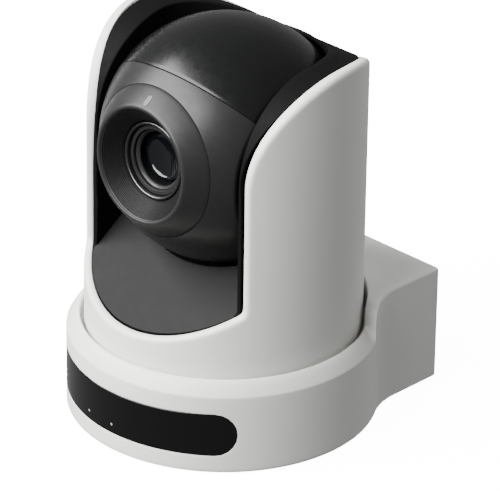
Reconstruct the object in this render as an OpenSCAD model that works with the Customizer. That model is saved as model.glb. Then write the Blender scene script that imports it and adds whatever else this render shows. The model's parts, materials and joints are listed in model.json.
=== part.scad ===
// Pan, tilt and zoom conference camera.
// Millimetres, +Z up, the lens looks along -Y.
// Origin: on the pan axis, at the mouth of the tripod thread, on the plane the feet stand on.

/* [Base] */
// Outer radius of the round part of the base
base_r = 65; // [62:0.5:68]
// Height of the drum's outer edge
ledge_z = 35.3; // [34.5:0.1:37]
// Height of the shoulder's inner rim around the turning yoke
rim_z = 41; // [39:0.1:42]
// Half width of the raised block at the back
block_half_w = 50; // [47:0.5:52]
// Distance from the pan axis to the back face
block_y = 78; // [76:0.5:82]
// Height of the raised block
block_z = 51.1; // [48:0.1:54]
// Radius of the hollow fillet between the drum and the block's sides
block_fillet = 30; // [20:1:36]
// Radius of the round well the yoke turns in
well_r = 59.4; // [59:0.1:60]
// Wall thickness of the base housing
base_wall = 2.5; // [2:0.1:3]
draft = 0.01; // [0.005:0.005:0.02]

/* [Infrared window] */
// Half angle of the window, to its ends
window_half_angle = 50.5; // [40:0.5:60]
// Height of the window's lower edge
window_z0 = 8.4; // [7:0.1:10]
// Height of the window's upper edge
window_z1 = 27.5; // [26:0.1:30]

/* [Yoke] */
// Outer radius of the yoke's shell
yoke_r = 57.6; // [57:0.1:58]
// Wall thickness of the yoke's shell
yoke_wall = 2.6; // [2:0.1:3]
// Distance from the pan axis to the arms' front edges
arm_front_y = 34.5; // [30:0.5:38]
// Height of the arms' highest point
arm_top_z = 164.5; // [160:0.5:168]
// Radius of the arms' front top corner, seen from the side
arm_front_r = 42.5; // [36:0.5:44]
// Radius of the arms' long curve down to the back, seen from the side
arm_back_r = 68; // [60:1:90]
// Rise of the apron for each millimetre towards the back
apron_slope = 0.667; // [0.5:0.01:0.8]
// Height of the apron's plane where it would cross the pan axis
apron_z = 91.3; // [88:0.1:93]

/* [Head] */
// Radius of the ball
ball_r = 51.3; // [50:0.1:52]
// Height of the tilt axis
tilt_z = 120.4; // [119:0.1:122]
// Half width of the ball between its flat sides
ball_half_w = 38.8; // [37:0.1:39.2]
// Upward tilt of the lens in the rest position, in degrees
lens_tilt = 3.8; // [0:0.1:8]
// Angle of the split between the two half shells above the lens axis
split_angle = 46.4; // [40:0.1:52]
// Outer radius of the lens bezel
bezel_r = 31.6; // [30:0.1:32]
// Distance from the ball's centre to the bezel's front lip
bezel_front = 48.5; // [47:0.1:50]
// Radius of the mouth of the lens recess
recess_r = 23.2; // [22:0.1:24]

/* [Drives] */
// Radius of the pan pulley on the hub
pan_pulley_r = 24; // [22:0.5:25]
// Radius of the pan motor's pulley
pan_drive_r = 6; // [5:0.5:7]
// Distance from the pan axis to the pan motor
pan_motor_y = 36; // [35:0.5:37]
// Radius of the tilt pulley on the trunnion
tilt_pulley_r = 13; // [12:0.5:13.5]
// Radius of the tilt motor's pulley
tilt_drive_r = 5.2; // [4.8:0.1:5.5]
// Height of the tilt motor's axis
tilt_motor_z = 56; // [55.8:0.1:56.2]

/* [Hidden] */
$fn = 96;

big = 400;                                  // larger than the whole camera, for cutting
foot_h = 0.8;                               // how far the feet stand below the base
plate_z = 2.6;                              // top of the base plate
deck_z0 = 34;                               // underside of the deck under the yoke
deck_z1 = 36.5;                             // top of the deck
deck_hole_r = 27;                           // hole in the deck for the hub and its pulley
step_y = 31.5;                              // front face of the raised block
fillet_x = block_half_w + block_fillet;
fillet_y = sqrt(pow(base_r + block_fillet, 2) - pow(fillet_x, 2));
boss_xy = [[-44, -36], [44, -36], [-43.5, 53], [43.5, 53]];
foot_xy = [[-37, -37], [37, -37], [-37, 60], [37, 60]];
bracket_xy = [[-35, -12], [35, -12], [-35, 48], [35, 48]];
pillar_xy = [[-27, -26], [27, -26], [-27, 52], [27, 52]];
window_h = window_z1 - window_z0;
light_angles = [-12, 1];                    // status lights, from straight ahead towards +X
panel_y0 = 73.4;                            // front face of the rear panel
panel_y1 = 75.4;                            // back face of the rear panel
board_z = 10.6;                             // top of the boards in the base
socket_y = 76.6;                            // how far back the sockets' mouths reach
// each socket: [centre x, width, height]
power_s = [37.4, 8.5, 11];
lan_s = [23.8, 16, 13.5];
video_s = [6.3, 15, 6.5];
usb_s = [-9.2, 12, 11];
audio_s = [-21.2, 8, 7];
serial_s = [-34.2, 14, 13];
chassis_z0 = 20;                            // underside of the chassis plate
chassis_z1 = 22;                            // top of the chassis plate
hub_r = 14;                                 // outer radius of the hub's tube
hub_bore = 10;                              // radius of the cable way through the hub
bearing_h = 5;
ball_track_r = 17.5;                        // radius of the circle the bearing balls run on
belt_gap = 0.3;
belt_t = 1.2;
pan_belt_z0 = 29.1;
pan_belt_z1 = 32.9;
motor_shaft_r = 2.5;
shaft_fit = 0.06;
yoke_z0 = 38.2;                             // lower edge of the yoke's shell
turntable_z0 = 39.2;
turntable_z1 = 41.2;
arm_cy = arm_front_r - arm_front_y;         // centre of both top curves, seen from the side
liner_gap = 0.2;
liner_t = 2;
liner_r = yoke_r - yoke_wall - liner_gap;
liner_z0 = 50;
slot_half_w = 40.6;                         // half width of the space the ball turns in
cavity_r = ball_r + 1.8;                    // radius of the space the ball turns in
mouth_r = 41;                               // radius of the liner's mouth behind the ball
upright_x0 = 42.8;
upright_x1 = 44.4;
pulley_x0 = 45.6;
pulley_x1 = 49.8;
trunnion_r = 4;
shell_t = 2.3;
barrel_r = 14.6;
barrel_bore = 12.6;
rod_x = 10.4;
rod_r = 0.8;

// ---------- shared shapes ----------

// the base seen from above, drawn in by i
module base_outline(i) {
    circle(r = base_r - i, $fn = 180);
    translate([-(block_half_w - i), 0]) square([2 * (block_half_w - i), block_y - i]);
    for (s = [-1, 1]) scale([s, 1]) difference() {
        polygon([[0, 0], [fillet_x, fillet_y] * ((base_r - i) / (base_r + block_fillet)),
            [fillet_x, fillet_y], [block_half_w - i, fillet_y], [0, fillet_y]]);
        translate([fillet_x, fillet_y]) circle(r = block_fillet + i, $fn = 120);
    }
}

// the raised block seen from above, drawn in by i
module block_outline(i) {
    intersection() {
        base_outline(i);
        translate([-big / 2, step_y + i]) square([big, big]);
    }
}

// the window's outline seen from the front, grown by g
module window_outline(g) {
    end_r = window_h / 2 + g;
    end_x = base_r * sin(window_half_angle) + g - end_r;
    translate([0, window_z0 + window_h / 2]) {
        square([2 * end_x, 2 * end_r], center = true);
        for (s = [-1, 1]) translate([s * end_x, 0]) circle(r = end_r);
    }
}

// the part of the drum's wall behind that outline, between radii r0 and r1
module window_band(r0, r1, g) {
    intersection() {
        ring(r1, r0, 0, ledge_z);
        rotate([90, 0, 0]) translate([0, 0, base_r / 3]) linear_extrude(base_r) window_outline(g);
    }
}

// an upright ring
module ring(outer, inner, z0, z1) {
    difference() {
        translate([0, 0, z0]) cylinder(r = outer, h = z1 - z0);
        translate([0, 0, z0 - 1]) cylinder(r = inner, h = z1 - z0 + 2);
    }
}

// a ring around the lens axis, from distance a to distance b behind the ball's centre
module lens_tube(outer, inner, a, b) {
    translate([0, a, 0]) rotate([-90, 0, 0]) ring(outer, inner, 0, b - a);
}

// a disc around the X axis
module x_disc(r, x0, x1) {
    translate([x0, 0, 0]) rotate([0, 90, 0]) cylinder(r = r, h = x1 - x0);
}

// a flanged pulley standing on z0, with its belt track of radius r between two lips
module pulley(r, z0, z1, lip) {
    lip_t = 0.4;
    rotate_extrude() polygon([[0, z0], [r + lip, z0], [r + lip, z0 + lip_t], [r, z0 + lip_t],
        [r, z1 - lip_t], [r + lip, z1 - lip_t], [r + lip, z1], [0, z1]]);
}

// the outline of a belt around two round pulleys, the second one at distance c along +Y
module belt_outline(r1, r2, c) {
    lean = asin((r1 - r2) / c);
    far = [r2 * cos(lean), c + r2 * sin(lean)];
    near = [r1 * cos(lean), r1 * sin(lean)];
    circle(r = r1);
    translate([0, c]) circle(r = r2);
    polygon([near, far, [-far[0], far[1]], [-near[0], near[1]]]);
}

module belt(r1, r2, c, z0, z1) {
    translate([0, 0, z0]) linear_extrude(z1 - z0) difference() {
        belt_outline(r1 + belt_gap + belt_t, r2 + belt_gap + belt_t, c);
        belt_outline(r1 + belt_gap, r2 + belt_gap, c);
    }
}

// a circuit board lying flat
module board(x0, x1, y0, y1, top) {
    translate([x0, y0, top - 1.6]) cube([x1 - x0, y1 - y0, 1.6]);
}

// turns a part of the head from its own frame to its place: ball centre, lens tilted up
module head_pose() {
    translate([0, 0, tilt_z]) rotate([-lens_tilt, 0, 0]) children();
}

// ---------- base ----------

module base_housing() {
    color("whitesmoke") difference() {
        union() {
            translate([0, 0, foot_h]) linear_extrude(ledge_z - foot_h) base_outline(0);
            rotate_extrude($fn = 180) polygon([[50, ledge_z - 1], [base_r, ledge_z - 1],
                [base_r, ledge_z], [61.6, rim_z - 0.6], [60.6, rim_z], [50.1, rim_z]]);
            translate([0, 0, ledge_z]) linear_extrude(block_z - ledge_z) block_outline(0);
        }
        // the well and the deck's hole widen upwards, so that the moulding leaves its tool
        translate([0, 0, deck_z1]) cylinder(r1 = well_r, r2 = well_r + draft * big, h = big, $fn = 180);
        difference() {
            linear_extrude(deck_z0) base_outline(base_wall);
            for (p = boss_xy) translate([p[0], p[1], plate_z]) cylinder(r = 3.5, h = deck_z0);
        }
        difference() {
            translate([0, 0, deck_z0 - 0.5]) linear_extrude(block_z - base_wall - deck_z0 + 0.5)
                block_outline(base_wall);
            cylinder(r = well_r + 2.2, h = block_z);
            for (p = boss_xy) translate([p[0], p[1], plate_z]) cylinder(r = 3.5, h = block_z);
        }
        translate([0, 0, deck_z0 - 1]) cylinder(r1 = deck_hole_r, r2 = deck_hole_r + 4 * draft, h = 4);
        for (p = boss_xy) translate([p[0], p[1], 0]) cylinder(r = 1.25, h = 16);
        window_band(base_r - 4, base_r + 2, 0.1);
        translate([-42, block_y - 4, 7]) cube([84, 8, 36]);
    }
}

module base_plate() {
    color("dimgray") difference() {
        union() {
            translate([0, 0, foot_h]) linear_extrude(plate_z - foot_h) base_outline(2.7);
            for (p = bracket_xy) translate([p[0], p[1], foot_h]) cylinder(r = 3.2, h = 4.8);
        }
        translate([0, 0, -1]) cylinder(r = 8.02, h = 8);
        for (p = boss_xy) translate([p[0], p[1], 0]) cylinder(r = 1.7, h = 8);
        for (p = boss_xy) translate([p[0], p[1], 0]) cylinder(r = 3.3, h = 1.6);
        for (p = bracket_xy) translate([p[0], p[1], -1]) cylinder(r = 1.5, h = 12);
    }
}

module tripod_bush() {
    color("goldenrod") difference() {
        union() {
            cylinder(r = 8, h = 8);
            translate([0, 0, plate_z]) cylinder(r = 10.5, h = 1.4);
        }
        translate([0, 0, -1]) cylinder(r = 2.55, h = 12);
    }
}

module rubber_feet() {
    color("black") for (p = foot_xy) translate([p[0], p[1], 0]) cylinder(r = 7, h = foot_h);
}

module base_screws() {
    color("silver") for (p = boss_xy) translate([p[0], p[1], 0]) {
        translate([0, 0, foot_h]) cylinder(r = 3, h = 0.8);
        translate([0, 0, 1.6]) cylinder(r = 1.2, h = 9);
    }
}

module ir_window() {
    color([0.03, 0.03, 0.04]) window_band(base_r - 2.2, base_r, 0);
}

module ir_board() {
    color("darkgreen") rotate([0, 0, 270 - 30]) rotate_extrude(angle = 60)
        translate([base_r - 7.6, window_z0]) square([1.2, 16]);
    color("black") for (a = [-24, 14, 26]) rotate([0, 0, a]) translate([0, -(base_r - 6.4), 19])
        rotate([90, 0, 0]) cylinder(r = 2.4, h = 3);
}

module status_lights() {
    color("lightcyan") for (a = light_angles) rotate([0, 0, a])
        translate([0, -(base_r - 6.4), 12.6]) rotate([90, 0, 0]) cylinder(r = 1.2, h = 3.6);
}

module main_board() {
    color("darkgreen") difference() {
        board(-40, 40, -41, 14, board_z);
        for (p = pillar_xy) translate([p[0], p[1], 0]) cylinder(r = 3.3, h = 20);
    }
    color("black") for (p = [[-24, -8], [20, -16], [26, 2], [-6, -34]])
        translate([p[0] - 6, p[1] - 6, board_z]) cube([12, 12, 1.4]);
    color("silver") for (x = [-34, 34]) for (y = [-34, 8]) translate([x, y, plate_z])
        cylinder(r = 2.2, h = board_z - 1.6 - plate_z);
}

module heat_sink() {
    color("silver") translate([-10, -18, board_z]) {
        cube([20, 20, 1.6]);
        for (i = [0:5]) translate([i * 3.72, 0, 0]) cube([1.4, 20, 3.2]);
    }
}

module io_board() {
    color("darkgreen") board(-46, 46, 57, 73.2, board_z);
}

// a socket's block on the board, standing through the panel
module socket_block(s) {
    translate([s[0] - s[1] / 2, 60, board_z]) cube([s[1], socket_y - 60, s[2]]);
}

// a rectangular socket mouth w by h and d deep, with a tongue of thickness t in the middle
module socket_mouth(s, w, h, d, t) {
    translate([s[0] - w / 2, socket_y - d, board_z + s[2] / 2 - h / 2]) difference() {
        cube([w, d + 1, h]);
        if (t > 0) translate([w * 0.18, -1, h / 2 - t / 2]) cube([w * 0.64, d, t]);
    }
}

// a round socket mouth of radius r, d deep
module round_mouth(s, r, d) {
    translate([s[0], socket_y - d, board_z + s[2] / 2]) rotate([-90, 0, 0]) cylinder(r = r, h = d + 1);
}

module rear_panel() {
    color([0.12, 0.12, 0.13]) difference() {
        translate([-45, panel_y0, 4.5]) cube([90, panel_y1 - panel_y0, 41]);
        for (s = [power_s, lan_s, video_s, usb_s, audio_s, serial_s])
            translate([s[0] - s[1] / 2 - 0.15, panel_y0 - 1, board_z - 0.2])
                cube([s[1] + 0.3, 4, s[2] + 0.35]);
        for (i = [-6:6]) translate([i * 5.5 - 1.2, panel_y0 - 1, 32]) cube([2.4, 4, 9]);
    }
}

module power_jack() {
    color([0.08, 0.08, 0.08]) difference() {
        socket_block(power_s);
        round_mouth(power_s, 2.85, 9.5);
    }
    color("silver") translate([power_s[0], socket_y - 9.5, board_z + power_s[2] / 2])
        rotate([-90, 0, 0]) cylinder(r = 1.05, h = 8.5);
}

module lan_socket() {
    color("silver") difference() {
        socket_block(lan_s);
        socket_mouth(lan_s, 11.8, 8.4, 12, 0);
    }
}

module video_socket() {
    color("silver") difference() {
        socket_block(video_s);
        socket_mouth(video_s, 14, 4.6, 9, 1.2);
    }
}

module usb_socket() {
    color("silver") difference() {
        socket_block(usb_s);
        socket_mouth(usb_s, 8.5, 7.8, 9, 3.2);
    }
}

module audio_jack() {
    color([0.1, 0.1, 0.1]) difference() {
        socket_block(audio_s);
        round_mouth(audio_s, 1.8, 12);
    }
}

module serial_socket() {
    color([0.1, 0.1, 0.1]) difference() {
        socket_block(serial_s);
        round_mouth(serial_s, 4.6, 8);
    }
}

module chassis_plate() {
    color("lightgray") difference() {
        translate([-32, -31, chassis_z0]) cube([64, 89, chassis_z1 - chassis_z0]);
        translate([0, 0, chassis_z0 - 1]) cylinder(r = hub_r + 2, h = 5);
        translate([0, pan_motor_y, chassis_z0 - 1]) cylinder(r = 5.2, h = 5);
        for (x = [-22, 22]) translate([x, 16, chassis_z0 - 1]) cylinder(r = 4, h = 5);
    }
}

module chassis_pillars() {
    color("silver") for (p = pillar_xy) translate([p[0], p[1], plate_z])
        cylinder(r = 3, h = chassis_z0 - plate_z);
}

module pan_motor() {
    color("silver") translate([0, pan_motor_y, 0]) difference() {
        union() {
            translate([0, 0, 4]) cylinder(r = 17.5, h = chassis_z0 - 4);
            translate([0, 0, chassis_z0]) cylinder(r = 5, h = 2);
        }
        translate([0, 0, 10]) cylinder(r = motor_shaft_r + shaft_fit, h = 20);
    }
}

module pan_bearing_outer() {
    color("silver") ring(ball_track_r + 4.5, ball_track_r + 1.5, chassis_z1, chassis_z1 + bearing_h);
}

module pan_bearing_cage() {
    z = chassis_z1 + bearing_h / 2;
    color("goldenrod") union() {
        ring(ball_track_r + 0.4, ball_track_r - 0.4, z - 0.6, z + 0.6);
        for (i = [0:13]) rotate([0, 0, i * 360 / 14]) translate([ball_track_r, 0, z])
            sphere(r = 1.2, $fn = 32);
    }
}

module pan_belt() {
    color([0.06, 0.06, 0.06])
        belt(pan_pulley_r, pan_drive_r, pan_motor_y, pan_belt_z0, pan_belt_z1);
}

module pan_motor_pulley() {
    color("gainsboro") translate([0, pan_motor_y, 0]) {
        pulley(pan_drive_r, pan_belt_z0 - 0.6, pan_belt_z1 + 0.6, 1);
        translate([0, 0, 12]) cylinder(r = motor_shaft_r, h = pan_belt_z0 - 12);
    }
}

// ---------- yoke ----------

module pan_bearing_inner() {
    color("silver") ring(ball_track_r - 1.5, hub_r + 0.02, chassis_z1, chassis_z1 + bearing_h);
}

module pan_hub() {
    color("silver") difference() {
        union() {
            translate([0, 0, 15]) cylinder(r = hub_r, h = turntable_z0 - 15);
            translate([0, 0, turntable_z0 - 2]) cylinder(r = 22, h = 2);
        }
        cylinder(r = hub_bore, h = 60);
        for (i = [0:3]) rotate([0, 0, 45 + i * 90]) translate([18, 0, 30]) cylinder(r = 1.3, h = 20);
    }
}

module pan_pulley() {
    color("gainsboro") difference() {
        pulley(pan_pulley_r, pan_belt_z0 - 0.6, pan_belt_z1 + 0.6, 1);
        translate([0, 0, 20]) cylinder(r = hub_r + 0.02, h = 20);
    }
}

module hub_clip() {
    color("dimgray") ring(17.4, hub_r + 0.02, chassis_z0 - 1.6, chassis_z0 - 0.6);
}

module hub_screws() {
    color("silver") for (i = [0:3]) rotate([0, 0, 45 + i * 90]) translate([18, 0, 0]) {
        translate([0, 0, turntable_z0 - 3.4]) cylinder(r = 2.4, h = 1.4);
        translate([0, 0, turntable_z0 - 2]) cylinder(r = 1.2, h = 4);
    }
}

module turntable() {
    color("gray") difference() {
        union() {
            translate([0, 0, turntable_z0]) cylinder(r = liner_r, h = turntable_z1 - turntable_z0);
            for (x = [-15, 15]) for (y = [30, 44]) translate([x, y, turntable_z1])
                cylinder(r = 2, h = 4.8);
        }
        translate([0, 0, 30]) cylinder(r = hub_bore, h = 20);
        for (i = [0:3]) rotate([0, 0, 45 + i * 90]) translate([18, 0, 30]) cylinder(r = 1.3, h = 20);
    }
}

// the yoke seen from the side, drawn in by i; X is forward to back, Y is up
module yoke_profile(i) {
    front = -arm_front_y + i;
    corner_z = apron_z - i * 1.2 + apron_slope * front;
    low_z = apron_z - i * 1.2 - apron_slope * 70;
    fa = [for (k = [0:12]) 180 - k * 7.5];
    ba = [for (k = [0:8]) 90 - k * 7];
    fr = arm_front_r - i;
    br = arm_back_r - i;
    polygon(concat(
        [[70, 30], [-70, 30], [-70, low_z], [front, corner_z]],
        [for (a = fa) [arm_cy + fr * cos(a), arm_top_z - arm_front_r + fr * sin(a)]],
        [for (a = ba) [arm_cy + br * cos(a), arm_top_z - arm_back_r + br * sin(a)]],
        [[70, 120]]));
}

// the side view as a solid, as wide as the yoke
module yoke_side(i) {
    rotate([90, 0, 90]) translate([0, 0, -big / 2]) linear_extrude(big) yoke_profile(i);
}

module yoke_shell() {
    color("whitesmoke") intersection() {
        difference() {
            translate([0, 0, yoke_z0]) cylinder(r = yoke_r, h = 140, $fn = 180);
            translate([0, 0, yoke_z0 - 1]) cylinder(r = yoke_r - yoke_wall, h = 150, $fn = 180);
        }
        yoke_side(0);
    }
}

// the space the ball turns in and looks out of, grown by g
module ball_space(g) {
    intersection() {
        translate([-(slot_half_w + g), -big / 2, 0]) cube([2 * (slot_half_w + g), big, big]);
        union() {
            translate([0, 0, tilt_z]) sphere(r = cavity_r + g, $fn = 128);
            translate([0, 0, tilt_z]) cylinder(r = mouth_r + g, h = big);
            rotate([90, 0, 90]) translate([0, 0, -big / 2]) linear_extrude(big)
                polygon([[-90, apron_z - 1.2 - 1.2 * g - 90 * apron_slope],
                    [0, apron_z - 1.2 - 1.2 * g], [0, 300], [-90, 300]]);
        }
    }
}

module yoke_liner() {
    color([0.22, 0.22, 0.23]) difference() {
        intersection() {
            translate([0, 0, liner_z0]) cylinder(r = liner_r, h = 130, $fn = 180);
            yoke_side(1);
        }
        ball_space(0);
        difference() {
            intersection() {
                translate([0, 0, 30]) cylinder(r = liner_r - liner_t, h = 140, $fn = 180);
                yoke_side(1 + liner_t);
            }
            ball_space(liner_t - 0.2);
        }
        translate([0, 0, tilt_z]) x_disc(trunnion_r + 1.5, -50, 50);
    }
}

module yoke_frame() {
    color("lightgray") difference() {
        union() {
            translate([-upright_x1, -24, turntable_z1]) cube([2 * upright_x1, 48, 1.6]);
            for (s = [-1, 1]) translate([s > 0 ? upright_x0 : -upright_x1, -14, turntable_z1])
                cube([upright_x1 - upright_x0, 28, tilt_z - turntable_z1]);
            for (s = [-1, 1]) translate([0, 0, tilt_z])
                x_disc(14, s > 0 ? upright_x0 : -upright_x1, s > 0 ? upright_x1 : -upright_x0);
        }
        translate([0, 0, tilt_z]) x_disc(8.03, -60, 60);
        translate([0, 0, tilt_motor_z]) x_disc(5.2, 40, 60);
        translate([0, 0, 30]) cylinder(r = hub_bore, h = 20);
        for (i = [0:3]) rotate([0, 0, 45 + i * 90]) translate([18, 0, 30]) cylinder(r = 1.6, h = 20);
    }
}

module yoke_board() {
    color("darkgreen") board(-18, 18, 27, 47, turntable_z1 + 6.4);
    color("black") for (x = [-9, 9]) translate([x - 4, 33, turntable_z1 + 6.4]) cube([8, 8, 1.2]);
}

module tilt_motor() {
    color("silver") translate([0, 0, tilt_motor_z]) difference() {
        union() {
            x_disc(13, 22.8, upright_x0);
            x_disc(5, upright_x0, upright_x1);
        }
        x_disc(motor_shaft_r + shaft_fit, 32, 60);
    }
}

module tilt_belt() {
    color([0.06, 0.06, 0.06]) translate([pulley_x0 + 0.6, 0, tilt_z]) rotate([-90, 0, -90])
        belt(tilt_pulley_r, tilt_drive_r, tilt_z - tilt_motor_z, 0, pulley_x1 - pulley_x0 - 1.2);
}

module tilt_bearings() {
    color("silver") for (s = [-1, 1]) translate([0, 0, tilt_z]) difference() {
        x_disc(8, s > 0 ? upright_x0 : -45.2, s > 0 ? 45.2 : -upright_x0);
        x_disc(trunnion_r + 0.05, -60, 60);
    }
}

module tilt_motor_pulley() {
    color("gainsboro") translate([0, 0, tilt_motor_z]) {
        rotate([0, 90, 0]) pulley(tilt_drive_r, pulley_x0, pulley_x1, 1);
        x_disc(motor_shaft_r, 34, pulley_x0 + 1);
    }
}

// ---------- head, in its own frame: origin at the ball's centre, lens along -Y ----------

// the hollow ball with its two flat sides
module ball_shell() {
    difference() {
        intersection() {
            sphere(r = ball_r, $fn = 128);
            cube([2 * ball_half_w, big, big], center = true);
        }
        intersection() {
            sphere(r = ball_r - shell_t, $fn = 128);
            cube([2 * (ball_half_w - shell_t), big, big], center = true);
        }
        x_disc(trunnion_r + 0.2, -60, 60);
    }
}

// half of all space: the side of the split that the lens is on, g off the split plane
module lens_side(g) {
    rotate([180 - split_angle, 0, 0]) translate([-big / 2, -big / 2, g]) cube([big, big, big]);
}

module head_front_shell() {
    color([0.13, 0.13, 0.14]) head_pose() difference() {
        intersection() {
            ball_shell();
            lens_side(0.1);
        }
        lens_tube(bezel_r + 0.15, 0, -60, -20);
    }
}

module head_rear_shell() {
    color([0.05, 0.05, 0.055]) head_pose() difference() {
        ball_shell();
        lens_side(-0.1);
    }
}

// the light pipe standing in the bezel's slope, or its pocket, grown by g
module tally_shape(g) {
    translate([0, -45.75, 27.2]) rotate([41.1, 0, 0]) translate([0, 0, -1.1]) {
        for (s = [-1, 1]) translate([0, s * 1.4, 0]) cylinder(r = 1.1 + g, h = 1.25);
        translate([-1.1 - g, -1.4, 0]) cube([2.2 + 2 * g, 2.8, 1.25]);
    }
}

module lens_bezel() {
    color([0.2, 0.2, 0.21]) head_pose() difference() {
        rotate([90, 0, 0]) rotate_extrude($fn = 128) polygon([[bezel_r, 38.2], [bezel_r, 40.4],
            [28.9, 43.8], [26.2, 46.9], [25.2, 48], [24.2, bezel_front], [recess_r, bezel_front],
            [16.3, 40.8], [16.3, 38.6], [18.6, 38.6], [24.4, 45.2], [29.4, 39.8], [29.4, 38.2]]);
        tally_shape(0.05);
    }
}

module tally_light() {
    color("white") head_pose() tally_shape(0);
}

module lens_ring() {
    color("darkgray") head_pose() lens_tube(16.2, 14.7, -41.4, -38.7);
}

module lens_retainer() {
    color([0.1, 0.1, 0.1]) head_pose() lens_tube(12.5, 11.2, -38.4, -37);
}

module front_lens() {
    color([0.15, 0.18, 0.25]) head_pose() rotate([90, 0, 0]) rotate_extrude() intersection() {
        translate([0, 33]) square([12.5, 6]);
        translate([0, 36.9 - 26]) circle(r = 26);
        translate([0, 20]) square([12.5, 16.9]);
    }
}

module lens_barrel() {
    color([0.08, 0.08, 0.08]) head_pose() lens_tube(barrel_r, barrel_bore, -39.6, 6);
}

module left_trunnion() {
    color("silver") head_pose() x_disc(trunnion_r, -47, -30);
}

module right_trunnion() {
    color("silver") head_pose() x_disc(trunnion_r, 30, 50.6);
}

module tilt_pulley() {
    color("gainsboro") head_pose() difference() {
        rotate([0, 90, 0]) pulley(tilt_pulley_r, pulley_x0, pulley_x1, 1);
        x_disc(trunnion_r + 0.02, 40, 60);
    }
}

module camera_bracket() {
    color("lightgray") head_pose() difference() {
        union() {
            translate([-34, 2, -18]) cube([68, 1.6, 36]);
            for (s = [-1, 1]) translate([s > 0 ? 32.4 : -34, -9, -18]) cube([1.6, 12, 36]);
        }
        lens_tube(barrel_r + 0.05, 0, -10, 10);
        x_disc(trunnion_r + 0.02, -60, 60);
    }
}

module sensor_board() {
    color("darkgreen") head_pose() translate([-17, 6, -17]) cube([34, 1.6, 34]);
}

module image_sensor() {
    color([0.2, 0.25, 0.3]) head_pose() translate([-5, 4.6, -4]) cube([10, 1.4, 8]);
}

module guide_rods() {
    color("silver") head_pose() for (s = [-1, 1]) translate([s * rod_x, -32.8, 0])
        rotate([-90, 0, 0]) cylinder(r = rod_r, h = 38.8);
}

// a small stepper beside the barrel with its lead screw
module lens_stepper(z) {
    translate([0, -12, z]) rotate([-90, 0, 0]) cylinder(r = 4.6, h = 13);
    translate([0, -28, z]) rotate([-90, 0, 0]) cylinder(r = 1, h = 17);
}

module zoom_motor() {
    color("silver") head_pose() lens_stepper(19.4);
}

module focus_motor() {
    color("silver") head_pose() lens_stepper(-19.4);
}

module isp_board() {
    color("darkgreen") head_pose() translate([-24, 20, -20]) cube([48, 1.6, 40]);
    color("black") head_pose() translate([-8, 18.4, -8]) cube([16, 1.6, 16]);
    color("silver") head_pose() for (x = [-14, 14]) for (z = [-14, 14]) translate([x, 7.6, z])
        rotate([-90, 0, 0]) cylinder(r = 1.5, h = 12.4);
}

// a lens in its sliding cell: cell from a to b along Y, glass in the middle
module lens_cell(a, b) {
    color("dimgray") difference() {
        lens_tube(12.2, 8, a, b);
        for (s = [-1, 1]) translate([s * rod_x, a - 1, 0]) rotate([-90, 0, 0])
            cylinder(r = rod_r + 0.06, h = b - a + 2);
    }
    color([0.2, 0.3, 0.4]) translate([0, a + 1, 0]) rotate([-90, 0, 0]) cylinder(r = 8, h = b - a - 2);
}

module zoom_group() {
    head_pose() lens_cell(-24, -19);
}

module focus_group() {
    head_pose() lens_cell(-4, 0);
}

base_housing();
base_plate();
tripod_bush();
rubber_feet();
base_screws();
ir_window();
ir_board();
status_lights();
main_board();
heat_sink();
io_board();
rear_panel();
power_jack();
lan_socket();
video_socket();
usb_socket();
audio_jack();
serial_socket();
chassis_plate();
chassis_pillars();
pan_motor();
pan_bearing_outer();
pan_belt();
pan_bearing_cage();
pan_motor_pulley();
pan_bearing_inner();
pan_hub();
pan_pulley();
hub_clip();
hub_screws();
turntable();
yoke_shell();
yoke_liner();
yoke_frame();
yoke_board();
tilt_motor();
tilt_belt();
tilt_bearings();
tilt_motor_pulley();
head_front_shell();
head_rear_shell();
lens_bezel();
lens_ring();
lens_retainer();
front_lens();
lens_barrel();
tally_light();
left_trunnion();
right_trunnion();
tilt_pulley();
camera_bracket();
sensor_board();
image_sensor();
guide_rods();
zoom_motor();
focus_motor();
isp_board();
zoom_group();
focus_group();
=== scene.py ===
"""Looks for the pan tilt zoom camera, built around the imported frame.

Lengths are in millimetres until make_piece() turns them into metres.
Angles called psi run round the pan axis from straight ahead (-Y) towards +X.
"""

import json
import math

import bmesh
import bpy
from mathutils import Matrix, Vector, geometry


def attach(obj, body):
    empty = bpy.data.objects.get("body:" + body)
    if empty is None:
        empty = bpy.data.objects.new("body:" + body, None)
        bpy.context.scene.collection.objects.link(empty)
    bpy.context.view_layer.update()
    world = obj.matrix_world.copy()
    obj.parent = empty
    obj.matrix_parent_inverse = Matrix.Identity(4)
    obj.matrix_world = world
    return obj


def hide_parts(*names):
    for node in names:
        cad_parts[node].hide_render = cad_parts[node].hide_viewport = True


MM = 0.001

# ---------- dimensions, as in the CAD ----------
BASE_R = 65.0
BASE_BOTTOM = 0.8
BASE_WALL = 2.5
BLOCK_HALF_W = 50.0
BLOCK_Y = 78.0
BLOCK_Z = 51.1
BLOCK_FILLET = 30.0
BLOCK_CORNER = 2.6
STEP_Y = 31.5
STEP_FOOT = 3.0
STEP_TOP = 5.0
STEP_LEAN = 0.1
WELL_R = 59.4
DECK_Z0 = 34.0
DECK_Z1 = 36.5
DECK_HOLE_R = 27.0
PANEL_HALF_W = 42.0
PANEL_Z0 = 7.0
PANEL_Z1 = 43.0
PANEL_CORNER = 2.2
PANEL_Y = 73.9
WINDOW_Z0 = 8.4
WINDOW_Z1 = 27.5
WINDOW_HALF = 50.5
YOKE_R = 57.6
YOKE_WALL = 2.6
YOKE_Z0 = 38.2
ARM_FRONT_Y = 34.5
ARM_TOP_Z = 164.5
ARM_FRONT_R = 42.5
ARM_BACK_R = 68.0
ARM_CY = ARM_FRONT_R - ARM_FRONT_Y
APRON_SLOPE = 0.667
APRON_Z = 91.3
SLOT_HALF_W = 40.6
MOUTH_R = 41.0
CAVITY_R = 53.1
BALL_R = 51.3
BALL_HALF_W = 38.8
SHELL_T = 2.3
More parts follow.
